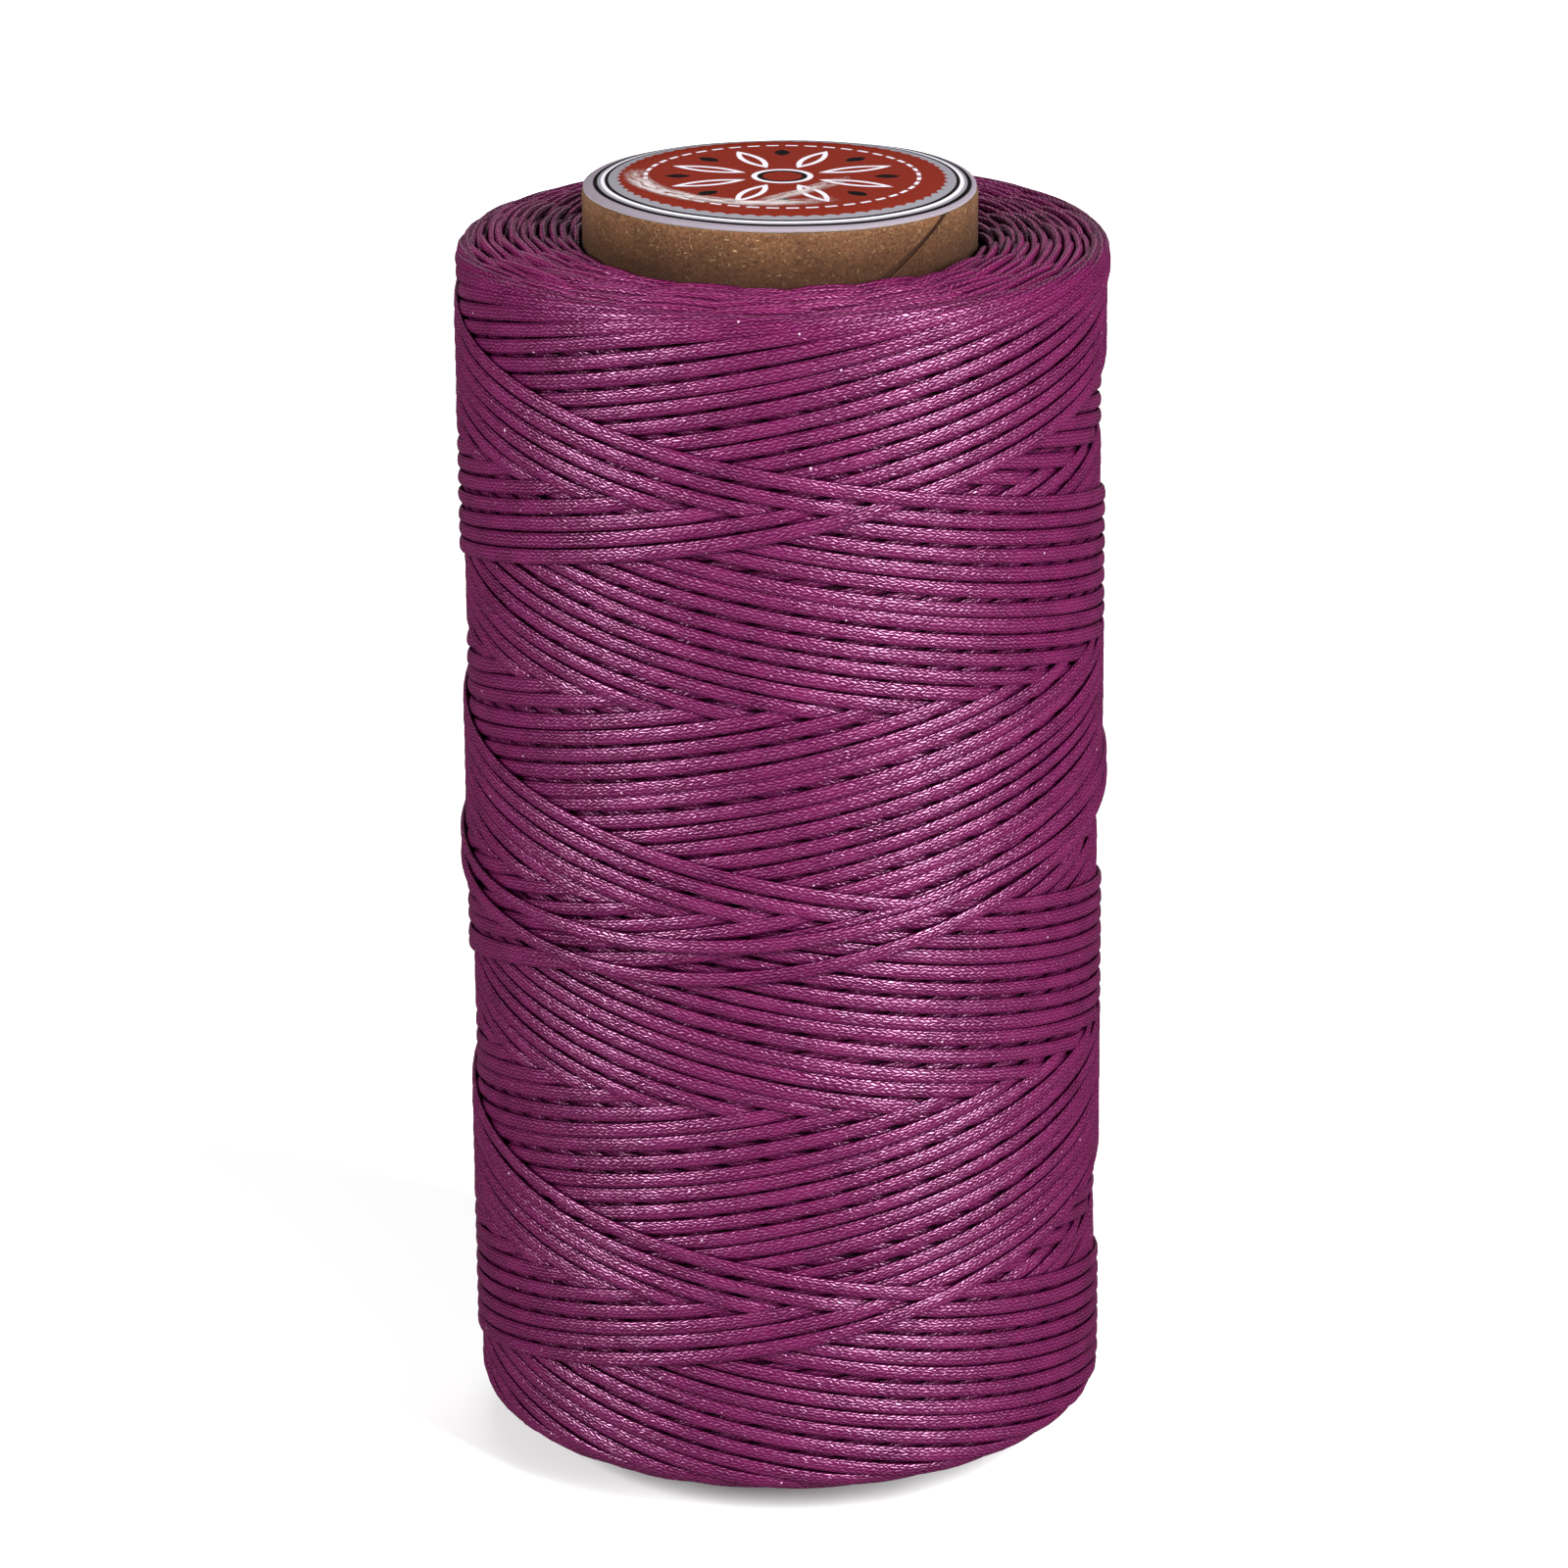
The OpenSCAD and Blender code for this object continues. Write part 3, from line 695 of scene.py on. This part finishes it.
def outer_ply():
    """The tube's outer strip, wound at the seam's lead, with its edges butted at the seam."""
    beside = np.concatenate([[0, 0.06], np.arange(0.10, 0.80, 0.04), [0.9, 1.3, 2, 3]])
    girth = 2 * math.pi * TUBE_R
    far = np.linspace(4, girth - 4, 120)
    offset = np.unique(np.concatenate([beside, far, girth - beside[1:]]))
    signed = np.where(offset > girth / 2, offset - girth, offset)
    z_edge = np.array([0, 0.05, 0.16, 0.4])
    heights = np.concatenate([z_edge, np.linspace(1, TUBE_LEN - 3.6, 46),
                              np.linspace(TUBE_LEN - 3.2, TUBE_LEN - 0.4, 8),
                              TUBE_LEN - z_edge[:3][::-1]])
    rounding = np.interp(np.minimum(heights, TUBE_LEN - heights), z_edge, [0.10, 0.05, 0.015, 0])
    seam = SEAM_TOP - (TUBE_LEN - heights) / SEAM_LEAD * 360
    bearing = seam[:, None] + offset[None] / TUBE_R * 180 / math.pi
    # The seam gapes towards the winding and closes towards the label
    half = np.interp(heights, [TUBE_LEN - 6.5, TUBE_LEN - 0.5], [SEAM_OPEN, SEAM_SHUT])
    half = half[:, None]
    groove = SEAM_DEEP * (1 - smooth((np.abs(signed) - half) / 0.08))
    lip = SEAM_LIP * np.exp(-((signed - half - 0.17) / 0.09) ** 2)
    uneven = 0.008 * np.sin(bearing * 0.2 + heights[:, None])
    radius = TUBE_R - groove + lip - rounding[:, None] + uneven
    outer = around(radius, bearing, heights[:, None] + 0 * bearing)
    inner = around(0 * radius + STRIP_IN, bearing, heights[:, None] + 0 * bearing)
    for wall in (outer, inner):
        wall[..., 2] += cut_rise(wall[..., 0], wall[..., 1]) * smooth(wall[..., 2] - TUBE_LEN + 1)
    rows, cols = bearing.shape
    side = grid_faces(rows, cols)
    quads = [side, side[:, ::-1] + rows * cols]
    j = np.arange(cols)
    k = (j + 1) % cols
    top = (rows - 1) * cols
    quads.append(np.stack([top + j, top + k, rows * cols + top + k, rows * cols + top + j], 1))
    quads.append(np.stack([j, rows * cols + j, rows * cols + k, k], 1))
    quads = np.concatenate(quads)
    make_mesh("tube_outer_ply", np.concatenate([outer.reshape(-1, 3), inner.reshape(-1, 3)]),
              quads.ravel(), np.full(len(quads), 4), material=kraft, slot="kraft_card",
              replaces=("core_outer_ply",))


outer_ply()
for name in ("core_inner_ply", "core_middle_ply"):
    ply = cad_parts[name]
    ply.data.materials.clear()
    ply.data.materials.append(liner)

# ---- The label ----

LABEL_R = 12.4
LABEL_Z = TUBE_LEN
PAPER_T, FILM_T = 0.15, 0.05
FILM_GAP = 0.01  # so that the film and the paper don't share a face
PRINT_X, PRINT_Y = 0.16, 0.05  # the print's middle, a little off the label's
FIELD_R, TEETH, TOOTH_DEPTH = 10.48, 66, 0.25  # the red field and its toothed edge
PETALS, DASHES = 8, 44  # in the rosette and in the ring round it
CREASE_X, CREASE_Y, CREASE_R = -0.9, 0.9, 8.2  # the circle that the film's long crease follows
FORK = (-0.755, 0.656, 5.01)  # the line of its short one, as factors of x and y and a distance
BULGE, BULGE_R = 0.50, 8.5  # how far the glued label stands off, and out to which radius
LIFT, LIFT_AT = 0.14, 125  # how far its rim is lifted, and at which bearing


def label_height(r, bearing):
    """How far the label stands off the tube's end: it bulges, and its rim slopes down, but for
    a lifted stretch at the back right."""
    rim = smooth((r - 9.5) / 3.0)
    lift = LIFT * np.exp(-(((bearing - LIFT_AT + 180) % 360 - 180) / 26) ** 2)
    ripple = 0.012 * np.sin(np.radians(bearing * 5 + 40)) + 0.008 * np.sin(np.radians(bearing * 11))
    bulge = BULGE * (1 - (np.clip(r - BULGE_R, 0, None) / (LABEL_R - BULGE_R)) ** 2)
    spot = around(r, bearing, 0.0)
    return bulge + rim * (lift + ripple) + cut_rise(spot[..., 0], spot[..., 1])


def disc(name, radii, bottom, thickness, segments=256, **made):
    """A thin round sheet that follows the label's height."""
    bearings = np.arange(segments) * 360 / segments
    r, b = np.meshgrid(radii, bearings, indexing="ij")
    top = around(r, b, bottom + thickness + label_height(r, b))
    low = around(r, b, bottom + label_height(r, b))
    middle = bottom + label_height(0.0, 0.0)
    verts = np.concatenate([top.reshape(-1, 3), low.reshape(-1, 3),
                            [[0, 0, middle + thickness], [0, 0, middle]]])
    rows, cols = r.shape
    side = grid_faces(rows, cols)
    j = np.arange(cols)
    k = (j + 1) % cols
    count = rows * cols
    rim = (rows - 1) * cols
    quads = np.concatenate([side[:, ::-1], side + count,
                            np.stack([rim + j, count + rim + j, count + rim + k, rim + k], 1)])
    fans = np.concatenate([np.stack([j, k, 0 * j + 2 * count], 1),
                           np.stack([count + k, count + j, 0 * j + 2 * count + 1], 1)])
    return make_mesh(name, verts, np.concatenate([quads.ravel(), fans.ravel()]),
                     np.concatenate([np.full(len(quads), 4), np.full(len(fans), 3)]), **made)


def label_material():
    """Printed paper: ring borders, a red field with a toothed edge and a rosette."""
    made, tree, shader = new_material("label_print", Specular_IOR_Level=0.0, Coat_Weight=0.03,
                                      Coat_Roughness=0.1)
    place = node(tree, "ShaderNodeTexCoord").outputs["Object"]
    part = node(tree, "ShaderNodeSeparateXYZ", {0: place})
    x = calc(tree, "MULTIPLY_ADD", part.outputs[0], 1 / MM, -PRINT_X)
    y = calc(tree, "MULTIPLY_ADD", part.outputs[1], 1 / MM, -PRINT_Y)
    r = length(tree, x, y)
    turn = calc(tree, "ARCTAN2", y, x)

    def inside(edge, width=0.03):
        return remap(tree, calc(tree, "SUBTRACT", edge, r), -width, width)

    def ring(low, high):
        return calc(tree, "SUBTRACT", inside(high), inside(low))

    def share(count, offset=0.0):
        """Place in each of so many equal sectors, from -0.5 to 0.5."""
        turned = calc(tree, "MULTIPLY_ADD", turn, count / math.pi / 2, offset)
        return calc(tree, "SUBTRACT", calc(tree, "FRACT", turned), 0.5)

    def lens(middle, half_length, half_width, count, offset=0.0):
        """Pointed ovals that lie along the radius, as how far inside one a place is, in mm."""
        aside = calc(tree, "MULTIPLY", calc(tree, "ABSOLUTE", share(count, offset)),
                     calc(tree, "MULTIPLY", r, 2 * math.pi / count))
        off = calc(tree, "DIVIDE", calc(tree, "SUBTRACT", r, middle), half_length)
        half = calc(tree, "MULTIPLY_ADD", calc(tree, "MULTIPLY", off, off), -half_width, half_width)
        return calc(tree, "SUBTRACT", half, aside)

    silver, lilac, white = colour(117, 115, 122), colour(119, 111, 120), colour(192, 188, 198)
    ink, red = colour(7, 3, 3), colour(104, 29, 17)
    grain = noise(tree, place, 5200.0, 3.0)
    base = lilac
    for border, tone in ((11.94, ink), (11.66, silver), (11.45, white), (11.21, ink),
                         (10.97, silver)):
        base = blend(tree, inside(border), base, tone)
    teeth = calc(tree, "ABSOLUTE", calc(tree, "SINE", calc(tree, "MULTIPLY", turn, TEETH / 2)))
    edge = calc(tree, "MULTIPLY_ADD", teeth, -TOOTH_DEPTH, FIELD_R)
    field = blend(tree, remap(tree, grain, 0.3, 0.7, 0.0, 0.4), red, colour(90, 24, 14))
    base = blend(tree, inside(edge), base, field)
    # A rosette of stitches, in place of the maker's print
    petal = lens(5.0, 2.5, 0.72, PETALS)
    base = blend(tree, remap(tree, petal, -0.03, 0.03), base, white)
    base = blend(tree, remap(tree, petal, 0.32, 0.38), base, field)
    base = blend(tree, remap(tree, lens(6.6, 0.85, 0.5, PETALS, 0.5), -0.03, 0.03), base, ink)
    dash = remap(tree, calc(tree, "ABSOLUTE", share(DASHES)), 0.30, 0.34, 1.0, 0.0)
    base = blend(tree, calc(tree, "MULTIPLY", ring(8.5, 8.75), dash), base, white)
    for border, tone in ((1.95, white), (1.6, ink), (1.25, field)):
        base = blend(tree, inside(border), base, tone)
    base = blend(tree, remap(tree, grain, 0.3, 0.7, 0.0, 0.06), base, colour(50, 40, 40))
    # The underside, seen up the bore, is bare paper
    normal = node(tree, "ShaderNodeTexCoord").outputs["Normal"]
    up = node(tree, "ShaderNodeSeparateXYZ", {0: normal}).outputs[2]
    bare = blend(tree, remap(tree, grain, 0.35, 0.65), colour(150, 145, 138), colour(172, 168, 160))
    base = blend(tree, remap(tree, up, -0.6, -0.5, 1.0, 0.0), base, bare)
    tree.links.new(base, shader.inputs["Base Color"])
    tree.links.new(remap(tree, grain, 0.3, 0.7, 0.35, 0.5), shader.inputs["Roughness"])
    return made


def film_material():
    """Clear gloss film, with a band of creases near the front; the creases are real, their whitish
    streaks a painted reflection.
    """
    made, tree, shader = new_material("label_gloss", Base_Color=colour(196, 178, 176),
                                      Roughness=0.10, Specular_IOR_Level=0.8)
    place = node(tree, "ShaderNodeTexCoord").outputs["Object"]
    part = node(tree, "ShaderNodeSeparateXYZ", {0: place})
    x = calc(tree, "MULTIPLY_ADD", part.outputs[0], 1 / MM, -CREASE_X)
    y = calc(tree, "MULTIPLY_ADD", part.outputs[1], 1 / MM, -CREASE_Y)

    def near(value, middle, full, gone):
        """1 where a value is within full of the middle, and 0 where it is gone from it."""
        off = calc(tree, "ABSOLUTE", calc(tree, "SUBTRACT", value, middle))
        return remap(tree, off, full, gone, 1.0, 0.0)

    def streaks(along, aside):
        """Broken lines that run along a crease."""
        drawn_out = calc(tree, "MULTIPLY", along, 0.22)
        spot = node(tree, "ShaderNodeCombineXYZ", {0: drawn_out, 1: aside}).outputs[0]
        return remap(tree, noise(tree, spot, 2.6, 3.0, 0.6), 0.40, 0.60, 0.05, 0.95)

    # One crease follows the rim from the left to the front, and one leaves it for the right
    out = length(tree, x, y)
    turn = calc(tree, "ARCTAN2", x, calc(tree, "MULTIPLY", y, -1.0))
    bend = calc(tree, "MULTIPLY", near(out, CREASE_R, 0.15, 0.85), near(turn, -0.57, 0.65, 1.15))
    bend = calc(tree, "MULTIPLY", bend, streaks(calc(tree, "MULTIPLY", turn, CREASE_R), out))
    aside = calc(tree, "MULTIPLY_ADD", x, FORK[0], calc(tree, "MULTIPLY_ADD", y, *FORK[1:]))
    fork = calc(tree, "MULTIPLY", near(aside, 0.0, 0.1, 0.75), near(x, 2.0, 1.4, 3.4))
    fork = calc(tree, "MULTIPLY", fork, calc(tree, "MULTIPLY", streaks(x, aside), 0.7))
    # Painted reflection: the creases' glare is the film's pale colour, shown through its alpha
    crease_glare = calc(tree, "MAXIMUM", bend, fork)
    tree.links.new(calc(tree, "ADD", crease_glare, 0.001), shader.inputs["Alpha"])
    waves = noise(tree, scaled(tree, place, (260.0, 700.0, 260.0)), 1.0, 3.0)
    bump = node(tree, "ShaderNodeBump", {"Height": waves, "Strength": 0.5, "Distance": 0.2 * MM})
    tree.links.new(bump.outputs[0], shader.inputs["Normal"])
    return made


rings = np.array([1.5, 3, 4.5, 6, 7.5, 8.5, 9.2, 9.8, 10.4, 10.9, 11.3, 11.7, 12.05, LABEL_R])
disc("label_print", rings, LABEL_Z, PAPER_T, material=label_material(), slot="label_paper",
     replaces=("label_paper",))
disc("label_gloss", rings, LABEL_Z + PAPER_T + FILM_GAP, FILM_T - FILM_GAP,
     material=film_material(), slot="label_film", replaces=("label_film",))

# ---- Floor, light and camera, in metres ----

MIDDLE = (0, 0, 0.044)
FRAME_PX = 1600
FOCAL_PX = 6501.58  # the photograph's focal length, in its own pixels
CAMERA_AT = (0, -0.39204, 0.17791)
CAMERA_TARGET = (0, 0, 0.0438)
CAMERA_ROLL = -0.4


def floor():
    """A plain pale floor, which isn't part of the object."""
    made, tree, shader = new_material("floor_paper", Roughness=0.9, Specular_IOR_Level=0.1)
    place = node(tree, "ShaderNodeTexCoord").outputs["Object"]
    cloud = noise(tree, place, 3.0, 2.0)
    base = blend(tree, cloud, (0.93, 0.93, 0.93, 1), (0.95, 0.95, 0.95, 1))
    tree.links.new(base, shader.inputs["Base Color"])
    # The lamps light the middle, and further out the paper is as pale by itself
    away = node(tree, "ShaderNodeVectorMath", {0: place}, operation="LENGTH").outputs["Value"]
    shader.inputs["Emission Color"].default_value = (1, 1, 1, 1)
    tree.links.new(remap(tree, away, 0.10, 0.40, 0.0, 0.85), shader.inputs["Emission Strength"])
    mesh = bpy.data.meshes.new("floor")
    half = 3.0
    corners = [(-half, -half, 0), (half, -half, 0), (half, half, 0), (-half, half, 0)]
    mesh.from_pydata(corners, [], [(0, 1, 2, 3)])
    mesh.materials.append(made)
    piece = bpy.data.objects.new("floor", mesh)
    bpy.context.scene.collection.objects.link(piece)
    # Nothing pale lies below the object in its gloss
    piece.visible_glossy = False


def aim(place, target, roll=0.0):
    """A matrix at place that looks at target along -Z, with Y up."""
    place, target = np.array(place, float), np.array(target, float)
    back = unit(place - target)
    right = unit(np.cross([0, 0, 1], back))
    up = np.cross(back, right)
    made = Matrix([[right[i], up[i], back[i], place[i]] for i in range(3)] + [[0, 0, 0, 1]])
    return made @ Matrix.Rotation(math.radians(roll), 4, "Z")


def light(name, place, wide, high, power):
    """A soft box that faces the middle of the spool."""
    data = bpy.data.lights.new(name, "AREA")
    data.shape = "RECTANGLE"
    data.size, data.size_y = wide, high
    data.energy = power
    piece = bpy.data.objects.new(name, data)
    piece.matrix_world = aim(place, MIDDLE)
    bpy.context.scene.collection.objects.link(piece)


floor()
light("softbox_left", (-0.545, -0.335, 0.34), 0.20, 0.28, 7.9)
light("softbox_right", (0.50, -0.42, 0.34), 0.29, 0.42, 14.2)
light("softbox_top", (0.0, 0.40, 0.95), 0.45, 0.45, 2.6)
light("softbox_back", (0.0, 0.90, 0.42), 0.80, 0.45, 1.0)

world = bpy.data.worlds.new("studio")
world.use_nodes = True
sky = world.node_tree.nodes["Background"].inputs
sky["Color"].default_value = (1, 1, 1, 1)
sky["Strength"].default_value = 0.10
bpy.context.scene.world = world
bpy.context.scene.view_settings.view_transform = "Standard"

camera = bpy.data.cameras.new("camera")
camera.sensor_width = 36.0
camera.lens = FOCAL_PX / FRAME_PX * camera.sensor_width
camera.clip_start, camera.clip_end = 0.01, 20.0
eye = bpy.data.objects.new("camera", camera)
eye.matrix_world = aim(CAMERA_AT, CAMERA_TARGET, CAMERA_ROLL)
bpy.context.scene.collection.objects.link(eye)
bpy.context.scene.camera = eye
